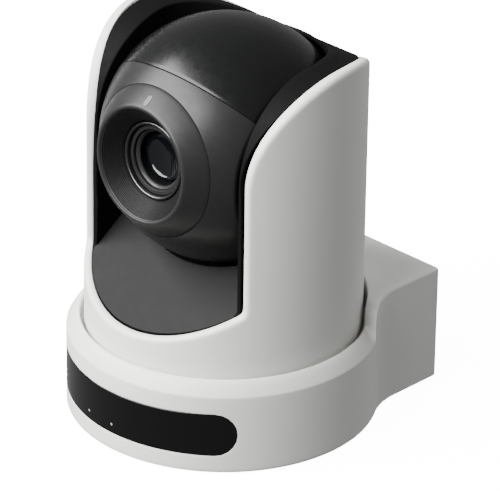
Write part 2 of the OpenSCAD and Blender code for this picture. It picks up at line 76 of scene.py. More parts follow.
TILT_Z = 120.4
LENS_TILT = 3.8
SPLIT_ANGLE = 46.4
BEZEL_R = 31.6
BEZEL_FRONT = 48.5
RECESS_R = 23.2

HEAD = Matrix.Translation((0, 0, TILT_Z)) @ Matrix.Rotation(math.radians(-LENS_TILT), 4, "X")
ROOT = Matrix.Identity(4)


# ---------- mesh helpers ----------

class Build:
    """Collects points and faces, welded by make_piece()."""

    def __init__(self):
        self.points = []
        self.faces = []

    def add(self, points):
        first = len(self.points)
        self.points.extend(Vector(p) for p in points)
        return list(range(first, len(self.points)))

    def strip(self, a, b, closed=False):
        count = len(a)
        last = count if closed else count - 1
        for i in range(last):
            j = (i + 1) % count
            self.faces.append((a[i], a[j], b[j], b[i]))

    def grid(self, rows, closed_rows=False, closed_columns=False):
        ids = [self.add(row) for row in rows]
        for a, b in zip(ids, ids[1:]):
            self.strip(a, b, closed_columns)
        if closed_rows:
            self.strip(ids[-1], ids[0], closed_columns)
        return ids


def mark_sharp(bm, degrees):
    limit = math.radians(degrees)
    for face in bm.faces:
        face.smooth = True
    for edge in bm.edges:
        edge.smooth = len(edge.link_faces) == 2 and edge.calc_face_angle(0.0) < limit


def make_piece(name, build, material, place=ROOT, sharp=38.0, weld=0.004):
    """Turns a build in millimetres into a smooth shaded object in metres."""
    bm = bmesh.new()
    verts = [bm.verts.new((place @ p) * MM) for p in build.points]
    bm.verts.ensure_lookup_table()
    for face in build.faces:
        ring = [verts[i] for i in face]
        if len(set(ring)) > 2:
            try:
                bm.faces.new(ring)
            except ValueError:
                continue
    bmesh.ops.remove_doubles(bm, verts=bm.verts, dist=weld * MM)
    bmesh.ops.dissolve_degenerate(bm, edges=bm.edges, dist=weld * MM)
    loose = [v for v in bm.verts if not v.link_faces]
    bmesh.ops.delete(bm, geom=loose, context="VERTS")
    bmesh.ops.recalc_face_normals(bm, faces=bm.faces)
    mark_sharp(bm, sharp)
    mesh = bpy.data.meshes.new(name)
    bm.to_mesh(mesh)
    bm.free()
    obj = bpy.data.objects.new(name, mesh)
    bpy.context.scene.collection.objects.link(obj)
    obj.data.materials.append(material)
    return obj


def apply_modifiers(obj, sharp=38.0):
    """Bakes the object's modifiers into its mesh and marks its sharp edges again."""
    graph = bpy.context.evaluated_depsgraph_get()
    mesh = bpy.data.meshes.new_from_object(obj.evaluated_get(graph))
    obj.modifiers.clear()
    bm = bmesh.new()
    bm.from_mesh(mesh)
    bmesh.ops.remove_doubles(bm, verts=bm.verts, dist=0.002 * MM)
    mark_sharp(bm, sharp)
    bm.to_mesh(mesh)
    bm.free()
    obj.data = mesh


def thicken(obj, wall, sharp=38.0):
    """Closes a one-sided sheet by giving it a wall below its lit side."""
    lowest = min(obj.data.polygons, key=lambda f: f.center.y)
    if lowest.normal.z < 0:
        obj.data.flip_normals()
    change = obj.modifiers.new("wall", "SOLIDIFY")
    change.thickness = wall * MM
    change.offset = -1.0
    bpy.context.view_layer.update()
    apply_modifiers(obj, sharp)


def cut(obj, cutter, sharp=38.0):
    """Subtracts the cutter from the object, and removes the cutter."""
    change = obj.modifiers.new("cut", "BOOLEAN")
    change.operation = "DIFFERENCE"
    change.solver = "EXACT"
    change.object = cutter
    bpy.context.view_layer.update()
    apply_modifiers(obj, sharp)
    mesh = cutter.data
    bpy.data.objects.remove(cutter)
    bpy.data.meshes.remove(mesh)


def lathe(build, profile, segments=128):
    """Turns a closed profile of (radius, distance ahead) about the lens axis."""
    rows = []
    for i in range(segments):
        a = 2 * math.pi * i / segments
        rows.append([(r * math.cos(a), -d, r * math.sin(a)) for r, d in profile])
    build.grid(rows, closed_rows=True, closed_columns=True)


def arc(cx, cy, r, a0, a1, steps):
    """Points along an arc about (cx, cy), from a0 to a1 degrees."""
    out = []
    for i in range(steps + 1):
        a = math.radians(a0 + (a1 - a0) * i / steps)
        out.append((cx + r * math.cos(a), cy + r * math.sin(a)))
    return out


def mix(a, b, t):
    return a + (b - a) * t


def on_drum(radius, s, z, unroll=BASE_R):
    """A point on an upright cylinder from its unrolled place s, z."""
    psi = s / unroll
    return (radius * math.sin(psi), -radius * math.cos(psi), z)


# ---------- materials ----------

def new_material(name):
    material = bpy.data.materials.new(name)
    material.use_nodes = True
    nodes = material.node_tree.nodes
    shader = next(n for n in nodes if n.type == "BSDF_PRINCIPLED")
    return material, nodes, material.node_tree.links, shader


def noise(nodes, links, scale, detail=2.0, rough=0.5):
    coords = nodes.new("ShaderNodeTexCoord")
    texture = nodes.new("ShaderNodeTexNoise")
    texture.inputs["Scale"].default_value = scale
    texture.inputs["Detail"].default_value = detail
    texture.inputs["Roughness"].default_value = rough
    links.new(coords.outputs["Object"], texture.inputs["Vector"])
    return texture.outputs["Fac"]


def ranged(nodes, links, value, low, high):
    change = nodes.new("ShaderNodeMapRange")
    change.inputs["From Min"].default_value = 0.3
    change.inputs["From Max"].default_value = 0.7
    change.inputs["To Min"].default_value = low
    change.inputs["To Max"].default_value = high
    links.new(value, change.inputs["Value"])
    return change.outputs["Result"]


def two_tones(nodes, links, value, dark, light):
    ramp = nodes.new("ShaderNodeMix")
    ramp.data_type = "RGBA"
    ramp.inputs["A"].default_value = (*dark, 1)
    ramp.inputs["B"].default_value = (*light, 1)
    links.new(value, ramp.inputs["Factor"])
    return ramp.outputs["Result"]


def bumped(nodes, links, shader, value, strength, distance):
    bump = nodes.new("ShaderNodeBump")
    bump.inputs["Strength"].default_value = strength
    bump.inputs["Distance"].default_value = distance
    links.new(value, bump.inputs["Height"])
    links.new(bump.outputs["Normal"], shader.inputs["Normal"])


def plastic(name, colour, spread, rough, grain_scale=2600.0, grain=0.08, specular=0.5, patch=45.0):
    """Moulded plastic: fine spark-eroded grain, with drifting gloss and colour."""
    material, nodes, links, shader = new_material(name)
    drift = noise(nodes, links, patch, 4.0, 0.6)
    dark = tuple(c * (1 - spread) for c in colour)
    light = tuple(min(1.0, c * (1 + spread)) for c in colour)
    links.new(two_tones(nodes, links, drift, dark, light), shader.inputs["Base Color"])
    wear = noise(nodes, links, patch * 6, 3.0, 0.6)
    links.new(ranged(nodes, links, wear, rough[0], rough[1]), shader.inputs["Roughness"])
    fine = noise(nodes, links, grain_scale, 2.0, 0.6)
    bumped(nodes, links, shader, fine, grain, 0.00006)
    shader.inputs["Specular IOR Level"].default_value = specular
    return material


def metal(name, colour, rough, stretch=(1.0, 1.0, 1.0), scale=900.0, depth=0.12):
    """Machined or plated metal with fine brushing along one direction."""
    material, nodes, links, shader = new_material(name)
    coords = nodes.new("ShaderNodeTexCoord")
    mapping = nodes.new("ShaderNodeMapping")
    mapping.inputs["Scale"].default_value = stretch
    texture = nodes.new("ShaderNodeTexNoise")
    texture.inputs["Scale"].default_value = scale
    texture.inputs["Detail"].default_value = 3.0
    links.new(coords.outputs["Object"], mapping.inputs["Vector"])
    links.new(mapping.outputs["Vector"], texture.inputs["Vector"])
    brush = texture.outputs["Fac"]
    dark = tuple(c * 0.86 for c in colour)
    links.new(two_tones(nodes, links, brush, dark, colour), shader.inputs["Base Color"])
    links.new(ranged(nodes, links, brush, rough[0], rough[1]), shader.inputs["Roughness"])
    bumped(nodes, links, shader, brush, depth, 0.00003)
    shader.inputs["Metallic"].default_value = 1.0
    return material


def board_material(name):
    """Circuit board: green solder mask over faint copper traces."""
    material, nodes, links, shader = new_material(name)
    coords = nodes.new("ShaderNodeTexCoord")
    bricks = nodes.new("ShaderNodeTexBrick")
    bricks.inputs["Scale"].default_value = 240.0
    bricks.inputs["Mortar Size"].default_value = 0.04
    bricks.inputs["Color1"].default_value = (0.012, 0.09, 0.035, 1)
    bricks.inputs["Color2"].default_value = (0.016, 0.11, 0.045, 1)
    bricks.inputs["Mortar"].default_value = (0.05, 0.2, 0.07, 1)
    links.new(coords.outputs["Object"], bricks.inputs["Vector"])
    links.new(bricks.outputs["Color"], shader.inputs["Base Color"])
    fine = noise(nodes, links, 700.0)
    links.new(ranged(nodes, links, fine, 0.28, 0.42), shader.inputs["Roughness"])
    bumped(nodes, links, shader, bricks.outputs["Fac"], 0.3, 0.00003)
    return material


def glass_material(name, tint, coating):
    """Coated lens glass, very faintly smudged."""
    material, nodes, links, shader = new_material(name)
    smudge = noise(nodes, links, 60.0, 2.0, 0.5)
    links.new(ranged(nodes, links, smudge, 0.005, 0.02), shader.inputs["Roughness"])
    links.new(two_tones(nodes, links, smudge, tint, coating), shader.inputs["Base Color"])
    shader.inputs["Transmission Weight"].default_value = 0.95
    shader.inputs["IOR"].default_value = 1.5
    return material


def make_materials():
    made = {
        "white_shell": plastic("white_shell", (0.79, 0.79, 0.755), 0.015, (0.36, 0.46), grain=0.05),
        "liner_grey": plastic("liner_grey", (0.016, 0.0165, 0.016), 0.06, (0.46, 0.58), grain=0.16,
                              specular=0.06),
        "head_front": plastic("head_front", (0.012, 0.0125, 0.012), 0.08, (0.32, 0.40), grain=0.10,
                              specular=0.3),
        "head_rear": plastic("head_rear", (0.004, 0.0042, 0.0042), 0.1, (0.24, 0.30), grain=0.006,
                             specular=0.3),
        "bezel": plastic("bezel", (0.014, 0.0145, 0.014), 0.08, (0.36, 0.45), grain=0.12,
                         specular=0.3),
        "window": plastic("window", (0.002, 0.002, 0.0022), 0.1, (0.05, 0.09), grain=0.01,
                          specular=0.35),
        "black_plastic": plastic("black_plastic", (0.008, 0.008, 0.0085), 0.1, (0.42, 0.56),
                                 specular=0.3),
        "grey_plastic": plastic("grey_plastic", (0.09, 0.09, 0.09), 0.06, (0.45, 0.58)),
        "light_pipe": plastic("light_pipe", (0.09, 0.094, 0.09), 0.05, (0.22, 0.3), grain=0.03,
                              specular=0.2),
        "rubber": plastic("rubber", (0.006, 0.006, 0.006), 0.12, (0.62, 0.8), grain=0.3,
                          specular=0.3),
        "painted_steel": plastic("painted_steel", (0.06, 0.06, 0.064), 0.05, (0.4, 0.55), grain=0.3,
                                 grain_scale=1500.0),
        "steel": metal("steel", (0.55, 0.55, 0.54), (0.26, 0.42), (1, 12, 1)),
        "zinc": metal("zinc", (0.66, 0.66, 0.65), (0.2, 0.34)),
        "aluminium": metal("aluminium", (0.62, 0.63, 0.64), (0.24, 0.38), (1, 1, 14)),
        "brass": metal("brass", (0.66, 0.47, 0.2), (0.24, 0.4)),
        "circuit": board_material("circuit"),
        "optic": glass_material("optic", (0.10, 0.13, 0.13), (0.13, 0.12, 0.17)),
        "silicon": metal("silicon", (0.12, 0.13, 0.2), (0.12, 0.22), scale=2400.0),
    }
    made["lens_trim"] = metal("lens_trim", (0.10, 0.10, 0.098), (0.26, 0.40), scale=1400.0)
    made["lens_inner"] = plastic("lens_inner", (0.02, 0.02, 0.02), 0.06, (0.25, 0.35), specular=0.4)
    made["front_glass"] = plastic("front_glass", (0.002, 0.0026, 0.0032), 0.3, (0.03, 0.06),
                                  grain=0.0)
    # A darker copy of the liner plastic that barely reflects: painted shade for the arms' facings and
    # the cavity behind the ball.
    made["painted_shade_liner"] = plastic("painted_shade_liner", (0.005, 0.005, 0.005), 0.08, (0.46, 0.58),
                                   grain=0.1, specular=0.02)
    made["status_light"] = plastic("status_light", (0.30, 0.31, 0.29), 0.05, (0.3, 0.4), grain=0.02)
    made["recess"] = plastic("recess", (0.006, 0.006, 0.006), 0.08, (0.36, 0.45), grain=0.05,
                             specular=0.14)
    return made


# ---------- base ----------

PATCH_COLUMNS = 74
PATCH_STEP = 1.5
PATCH_Z = [3.0 + 3.0 * i for i in range(11)]
DRUM_STEP = 1.5
TOP_BEVEL = 1.0

# the shoulder from the drum's edge to the well, as (radius, height)
SHOULDER = [(65.0, 34.85), (64.97, 35.1), (64.82, 35.45), (64.45, 36.05), (63.8, 37.1),
            (63.0, 38.3), (62.2, 39.4), (61.5, 40.15), (60.9, 40.62), (60.35, 40.9),
            (59.9, 40.97), (59.6, 40.85), (59.45, 40.55), (59.4, 40.1)]


def outline_x(y):
    """Half width of the base at y, on the drum or on the hollow fillet behind it."""
    cx = BLOCK_HALF_W + BLOCK_FILLET
    cy = math.sqrt((BASE_R + BLOCK_FILLET) ** 2 - cx ** 2)
    if y <= cy * BASE_R / (BASE_R + BLOCK_FILLET):
        return math.sqrt(BASE_R ** 2 - y ** 2)
    if y < cy:
        return cx - math.sqrt(BLOCK_FILLET ** 2 - (y - cy) ** 2)
    return BLOCK_HALF_W


def half_columns():
    """Right half of the base's plan, front to back: (x, y, stage, share) for each column.

    stage 0 is low, 1 the step's foot, 2 its face, 3 its rounded top, 4 high.
    """
    columns = []
    edge_psi = math.degrees(math.atan2(outline_x(STEP_Y - STEP_FOOT), -(STEP_Y - STEP_FOOT)))
    psi = 0.0
    while psi < edge_psi - 0.7:
        a = math.radians(psi)
        columns.append((BASE_R * math.sin(a), -BASE_R * math.cos(a), 0, 0.0))
        psi += DRUM_STEP
    for i in range(6):
        t = i / 5
        y = STEP_Y - STEP_FOOT + STEP_FOOT * math.sin(t * math.pi / 2)
        columns.append((outline_x(y), y, 1, t))
    for i in range(1, 5):
        y = STEP_Y + STEP_LEAN * i / 5
        columns.append((outline_x(y), y, 2, i / 5))
    for i in range(9):
        t = i / 8
        y = STEP_Y + STEP_LEAN + STEP_TOP * (1 - math.cos(t * math.pi / 2))
        columns.append((outline_x(y), y, 3, t))
    y = STEP_Y + STEP_LEAN + STEP_TOP + 1.0
    while y < BLOCK_Y - BLOCK_CORNER - 0.5:
        columns.append((outline_x(y), y, 4, 1.0))
        y += 1.25
    for x, y in arc(BLOCK_HALF_W - BLOCK_CORNER, BLOCK_Y - BLOCK_CORNER, BLOCK_CORNER, 0, 90, 6):
        columns.append((x, y, 4, 1.0))
    for i in range(1, 25):
        columns.append(((BLOCK_HALF_W - BLOCK_CORNER) * (1 - i / 24), BLOCK_Y, 4, 1.0))
    return columns


def full_columns():
    right = half_columns()
    left = [(-x, y, stage, share) for x, y, stage, share in right[1:-1]]
    return left[::-1] + right


def column_height(low, stage, share, drop):
    """Height of the top surface where the low shoulder would be at low."""
    if stage == 0:
        return low
    if stage == 1:
        return low + STEP_FOOT * (1 - math.cos(share * math.pi / 2))
    if stage == 2:
        return mix(low + STEP_FOOT, BLOCK_Z - STEP_TOP, share)
    if stage == 3:
        return BLOCK_Z - STEP_TOP + STEP_TOP * math.sin(share * math.pi / 2) - drop * share
    return BLOCK_Z - drop


def high_profile(length):
    """The raised block's top from its outer edge to the well: (distance in, drop)."""
    bevel = [(TOP_BEVEL * (1 - math.cos(a)), TOP_BEVEL * (1 - math.sin(a)))
             for a in (0.0, 0.4, 0.8, 1.2, math.pi / 2)]
    middle = [(mix(TOP_BEVEL, length - 0.8, t), 0.0) for t in (0.25, 0.5, 0.75)]
    inner = [(length - 0.8, 0.0), (length - 0.5, 0.03), (length - 0.25, 0.12),
             (length - 0.1, 0.28), (length - 0.02, 0.5), (length, 0.9)]
    return bevel + middle + inner


def column_inner(x, y, stage):
    """Where a column's top surface meets the well, seen from above."""
    radius = math.hypot(x, y)
    straight = (x * WELL_R / radius, y * WELL_R / radius)
    if stage in (1, 2, 3):
        return (math.copysign(math.sqrt(WELL_R ** 2 - y ** 2), x), y)
    near = max(0.0, 1 - abs(y - (STEP_Y - STEP_FOOT if stage == 0 else STEP_Y + STEP_TOP)) / 14)
    if abs(y) >= WELL_R or near == 0.0:
        return straight
    level = (math.copysign(math.sqrt(WELL_R ** 2 - y ** 2), x), y)
    bent = Vector((mix(straight[0], level[0], near), mix(straight[1], level[1], near)))
    bent = bent.normalized() * WELL_R
    return (bent.x, bent.y)


def outline_normals(columns):
    normals = []
    count = len(columns)
    for i in range(count):
        k = 1
        while True:
            a = columns[(i - k) % count]
            b = columns[(i + k) % count]
            t = Vector((b[0] - a[0], b[1] - a[1]))
            if t.length > 0.05:
                break
            k += 1
        t.normalize()
        normals.append((t.y, -t.x))
    return normals


def stadium(index, grow):
    """Point of the window's outline for a place on the patch's edge, as unrolled (s, z)."""
    rows = len(PATCH_Z) - 1
    half_h = (WINDOW_Z1 - WINDOW_Z0) / 2
    mid_z = (WINDOW_Z1 + WINDOW_Z0) / 2
    run = math.radians(WINDOW_HALF) * BASE_R - half_h
    r = half_h + grow
    if index <= PATCH_COLUMNS:
        return (mix(-run, run, index / PATCH_COLUMNS), mid_z - r)
    if index < PATCH_COLUMNS + rows:
        a = math.pi * ((index - PATCH_COLUMNS) / rows - 0.5)
        return (run + r * math.cos(a), mid_z + r * math.sin(a))
    if index <= 2 * PATCH_COLUMNS + rows:
        return (mix(run, -run, (index - PATCH_COLUMNS - rows) / PATCH_COLUMNS), mid_z + r)
    a = math.pi * ((index - 2 * PATCH_COLUMNS - rows) / rows + 0.5)
    return (-run + r * math.cos(a), mid_z + r * math.sin(a))


def patch_edge():
    """The patch of drum wall around the window, as unrolled (s, z), in the same order."""
    half = math.radians(PATCH_STEP * PATCH_COLUMNS / 2) * BASE_R
    across = [mix(-half, half, i / PATCH_COLUMNS) for i in range(PATCH_COLUMNS + 1)]
    ring = [(s, PATCH_Z[0]) for s in across]
    ring += [(half, z) for z in PATCH_Z[1:-1]]
    ring += [(s, PATCH_Z[-1]) for s in reversed(across)]
    ring += [(-half, z) for z in reversed(PATCH_Z[1:-1])]
    return ring


def ring_at(radius, points):
    return [on_drum(radius, s, z) for s, z in points]


def stadium_ring(grow):
    total = 2 * PATCH_COLUMNS + 2 * (len(PATCH_Z) - 1)
    return [stadium(i, grow) for i in range(total)]


def blend_ring(a, b, t):
    return [(mix(p[0], q[0], t), mix(p[1], q[1], t)) for p, q in zip(a, b)]


def window_hole(build):
    """The drum's wall around the window: outside, the hole's edge and inside."""
    edge = patch_edge()
    near = stadium_ring(0.45)
    inside = BASE_R - BASE_WALL
    rows = [ring_at(BASE_R, blend_ring(edge, near, t)) for t in (0.0, 0.3, 0.6, 0.85, 1.0)]
    rows.append(ring_at(BASE_R - 0.03, stadium_ring(0.2)))
    rows.append(ring_at(BASE_R - 0.15, stadium_ring(0.05)))
    rows.append(ring_at(BASE_R - 0.4, stadium_ring(0.0)))
    rows.append(ring_at(inside, stadium_ring(0.0)))
    rows += [ring_at(inside, blend_ring(edge, near, t)) for t in (1.0, 0.6, 0.3, 0.0)]
    build.grid(rows, closed_columns=True)


def base_housing(material):
    columns = full_columns()
    normals = outline_normals(columns)
    build = Build()
    sections = []
    tags = []
    rows_z = [1.3] + PATCH_Z
    for (x, y, stage, share), n in zip(columns, normals):
        qx, qy = column_inner(x, y, stage)
        length = math.hypot(x - qx, y - qy)
        high = high_profile(length)
        weight = {0: 0.0, 1: 0.0, 2: 0.0, 3: share, 4: 1.0}[stage]
        top = []
        for (r, low), (d, drop) in zip(SHOULDER, high):
            f = mix((BASE_R - r) / (BASE_R - WELL_R), d / length, weight)
            top.append((mix(x, qx, f), mix(y, qy, f), column_height(low, stage, share, drop)))
        ux, uy = qx / WELL_R, qy / WELL_R
        ix, iy = x - n[0] * BASE_WALL, y - n[1] * BASE_WALL
        ceiling = BLOCK_Z - BASE_WALL if y > STEP_Y + BASE_WALL else DECK_Z0
        outer = [(x - n[0] * 0.5, y - n[1] * 0.5, BASE_BOTTOM)]
        outer.append((x - n[0] * 0.15, y - n[1] * 0.15, BASE_BOTTOM + 0.15))
        outer += [(x, y, z) for z in rows_z]
        outer += top
        deck = [(qx, qy, DECK_Z1 + 0.5), (qx - ux * 0.5, qy - uy * 0.5, DECK_Z1)]
        deck += [(ux * DECK_HOLE_R, uy * DECK_HOLE_R, DECK_Z1)]
        deck += [(ux * DECK_HOLE_R, uy * DECK_HOLE_R, DECK_Z0)]
        deck += [(ux * (WELL_R + 2.2), uy * (WELL_R + 2.2), z) for z in (DECK_Z0, ceiling)]
        inner = [(ix, iy, ceiling)] + [(ix, iy, z) for z in reversed(rows_z)]
        inner.append((ix, iy, BASE_BOTTOM))
        sections.append(outer + deck + inner)
        psi = math.degrees(math.atan2(x, -y))
        tags.append(abs(psi) < PATCH_STEP * PATCH_COLUMNS / 2 - 0.1 and y < 0)
    ids = [build.add(section) for section in sections]
    count = len(sections[0])
    outer_from = 3
    outer_to = outer_from + len(PATCH_Z) - 1
    inner_to = count - 3
    inner_from = inner_to - (len(PATCH_Z) - 1)
    for i in range(len(ids)):
        a, b = ids[i], ids[(i + 1) % len(ids)]
        j = (i + 1) % len(ids)
        in_patch = (tags[i] or tags[j]) and columns[i][2] == 0 and columns[j][2] == 0
        for k in range(count):
            m = (k + 1) % count
            hidden = outer_from <= k < outer_to or inner_from <= k < inner_to
            if in_patch and hidden:
                continue
            build.faces.append((a[k], b[k], b[m], a[m]))
    window_hole(build)
    obj = make_piece("base_housing_shell", build, material, sharp=32.0)
    cut(obj, panel_cutter(), sharp=32.0)
    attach(obj, "base")
    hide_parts("base_housing")
    return obj


def panel_cutter():
    """The opening for the rear panel: a block with rounded corners, seen from behind."""
    half_w, low, high, r = PANEL_HALF_W, PANEL_Z0, PANEL_Z1, PANEL_CORNER
    ring = arc(half_w - r, low + r, r, -90, 0, 6) + arc(half_w - r, high - r, r, 0, 90, 6)
    ring += arc(r - half_w, high - r, r, 90, 180, 6) + arc(r - half_w, low + r, r, 180, 270, 6)
    build = Build()
    ids = build.grid([[(x, y, z) for x, z in ring] for y in (PANEL_Y, BLOCK_Y + 4)], closed_columns=True)
    build.faces.append(tuple(ids[0]))
    build.faces.append(tuple(ids[1]))
    return make_piece("panel_cutter", build, bpy.data.materials["white_shell"])


def ir_window(material):
    build = Build()
    front = [(-0.08, 64.72), (-0.16, 64.9), (-0.34, 64.98), (-0.6, BASE_R), (-2.2, BASE_R),
             (-4.4, BASE_R), (-6.8, BASE_R), (-9.2, BASE_R)]
    back = [(-9.2, 62.9), (-4.4, 62.9), (-0.08, 62.9)]
    rows = [ring_at(radius, stadium_ring(grow)) for grow, radius in front + back]
    ids = [build.add(row) for row in rows]
    for a, b in zip(ids, ids[1:] + ids[:1]):
        if a is not ids[len(front) - 1]:
            build.strip(a, b, closed=True)
    for ring in (ids[len(front) - 1], ids[len(front)]):
        total = len(ring)
        bottom = ring[:PATCH_COLUMNS + 1]
        rows_n = len(PATCH_Z) - 1
        top = ring[PATCH_COLUMNS + rows_n:2 * PATCH_COLUMNS + rows_n + 1][::-1]
        build.strip(bottom, top)
        right_end = ring[PATCH_COLUMNS:PATCH_COLUMNS + rows_n + 1]
        left_end = ring[2 * PATCH_COLUMNS + rows_n:total] + ring[:1]
        build.faces.append(tuple(right_end))
        build.faces.append(tuple(left_end))
    obj = make_piece("infrared_window", build, material, sharp=50.0)
    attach(obj, "base")
    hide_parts("ir_window")
    return obj


STATUS_PLACES = (-12.0, 1.0)
STATUS_Z = 12.6
STATUS_R = 0.55


def status_marks(material):
    """Two small round status lights, flush with the window."""
    build = Build()
    for psi in STATUS_PLACES:
        middle = math.radians(psi) * BASE_R
        rows = []
        for radius, share in ((BASE_R - 0.6, 1.0), (BASE_R + 0.01, 1.0), (BASE_R + 0.03, 0.9)):
            ring = [(middle + STATUS_R * share * math.cos(2 * math.pi * i / 24),
                     STATUS_Z + STATUS_R * share * math.sin(2 * math.pi * i / 24)) for i in range(24)]
            rows.append(ring_at(radius, ring))
        ids = build.grid(rows, closed_columns=True)
        build.faces += [tuple(ids[0]), tuple(ids[-1])]
    obj = make_piece("status_light_windows", build, material)
    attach(obj, "base")
    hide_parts("status_lights")
    return obj


# ---------- yoke ----------

RIM_OUTER_ROUND = 2.2
RIM_BAND = 4.5
RIM_LOW = 3.2
RIM_HIGH = 4.6


def profile_z(y, inset):
    """Height of the arms' top curves at y, drawn in by inset."""
    if y < ARM_CY:
        r = ARM_FRONT_R - inset
        return ARM_TOP_Z - ARM_FRONT_R + math.sqrt(max(0.0, r * r - (y - ARM_CY) ** 2))
    r = ARM_BACK_R - inset
    return ARM_TOP_Z - ARM_BACK_R + math.sqrt(max(0.0, r * r - (y - ARM_CY) ** 2))


def soften(points, corner, reach, steps=7):
    """Rounds the path at point number corner, over a length of reach each way."""
    p = [Vector(q) for q in points]
    lead = corner
    while (p[lead] - p[corner]).length < reach:
        lead -= 1
    tail = corner
    while (p[tail] - p[corner]).length < reach:
        tail += 1
    a, b, c = p[lead], p[corner], p[tail]
    curve = []
    for i in range(steps + 1):
        t = i / steps
        curve.append(a * (1 - t) ** 2 + b * 2 * t * (1 - t) + c * t * t)
    return [tuple(q) for q in p[:lead]] + [tuple(q) for q in curve] + [tuple(q) for q in p[tail + 1:]]


def spaced(points, step):
    """The path again with points a steady step apart."""
    p = [Vector(q) for q in points]
    lengths = [0.0]
    for a, b in zip(p, p[1:]):
        lengths.append(lengths[-1] + (b - a).length)
    count = max(2, round(lengths[-1] / step))
    out = []
    k = 0
    for i in range(count + 1):
        want = lengths[-1] * i / count
        while k < len(p) - 2 and lengths[k + 1] < want:
            k += 1
        span = lengths[k + 1] - lengths[k]
        t = 0.0 if span == 0 else (want - lengths[k]) / span
        out.append(tuple(p[k].lerp(p[k + 1], min(1.0, t))))
    return out


def rim_path():
    """The yoke shell's upper edge, right half, front centre to back centre, unrolled (s, z)."""
    corner_psi = math.acos(ARM_FRONT_Y / YOKE_R)
    path = []
    for i in range(60):
        psi = corner_psi * i / 60
        path.append((psi * YOKE_R, APRON_Z - APRON_SLOPE * YOKE_R * math.cos(psi)))
    corner = len(path)
    low = APRON_Z - APRON_SLOPE * ARM_FRONT_Y
    mid = ARM_TOP_Z - ARM_FRONT_R
    for i in range(50):
        path.append((corner_psi * YOKE_R, mix(low, mid, i / 50)))
    for i in range(80):
        a = math.radians(180 - 90 * i / 80)
        y = ARM_CY + ARM_FRONT_R * math.cos(a)
        path.append((YOKE_R * math.acos(-y / YOKE_R), mid + ARM_FRONT_R * math.sin(a)))
    psi_top = math.acos(-ARM_CY / YOKE_R)
    for i in range(91):
        psi = mix(psi_top, math.pi, i / 90)
        path.append((psi * YOKE_R, profile_z(-YOKE_R * math.cos(psi), 0.0)))
    return spaced(soften(path, corner, 1.6), 1.3)


def path_normals(path):
    """For each point, the unit vector into the white wall."""
    out = []
    last = len(path) - 1
    for i in range(len(path)):
        a = Vector(path[max(0, i - 1)])
        b = Vector(path[min(last, i + 1)])
        t = (b - a).normalized()
        if i in (0, last):
            t = Vector((1.0, 0.0))
        out.append(Vector((t.y, -t.x)))
    return out


def rim_thickness(z):
    """The rim is thicker over the top of the arms than down their front edges."""
    t = min(1.0, max(0.0, (z - 104.0) / 42.0))
    return mix(RIM_LOW, RIM_HIGH, t * t * (3 - 2 * t))


def whole_loop(path):
    """Adds the mirrored left half; the loop starts and ends at the back centre."""
    left = [(-s, z) for s, z in path[1:]]
    return left[::-1] + list(path)


def sheet_faces(rim, bottom_z, spacing):
    """Triangles for the unrolled wall between the rim loop and a level lower edge."""
    half = math.pi * YOKE_R
    across = max(8, round(2 * half / spacing))
    lower = [(mix(-half, half, i / across), bottom_z) for i in range(across + 1)]
    side_top = rim[0][1]
    ups = max(4, round((side_top - bottom_z) / spacing))
    side = [mix(bottom_z, side_top, i / ups) for i in range(1, ups)]
    border = lower + [(half, z) for z in side] + list(reversed(rim))
    border += [(-half, z) for z in reversed(side)]
    inner = []
    for i in range(1, across):
        s = mix(-half, half, i / across)
        for k in range(1, round(130 / spacing)):
            z = bottom_z + k * spacing
            near = min((s - p[0]) ** 2 + (z - p[1]) ** 2 for p in rim)
            if near > (0.6 * spacing) ** 2 and inside(s, z, rim):
                inner.append((s, z))
    points = [Vector(p) for p in border + inner]
    edges = [(i, (i + 1) % len(border)) for i in range(len(border))]
    verts, _, faces, _, _, _ = geometry.delaunay_2d_cdt(points, edges, [], 1, 1e-5)
    return [tuple(v) for v in verts], faces


def inside(s, z, rim):
    """True where (s, z) is under the rim loop: the loop crosses the upright line above it."""
    crossings = 0
    for a, b in zip(rim, rim[1:]):
        if (a[0] <= s) != (b[0] <= s):
            t = (s - a[0]) / (b[0] - a[0])
            if mix(a[1], b[1], t) > z:
                crossings += 1
    return crossings % 2 == 1


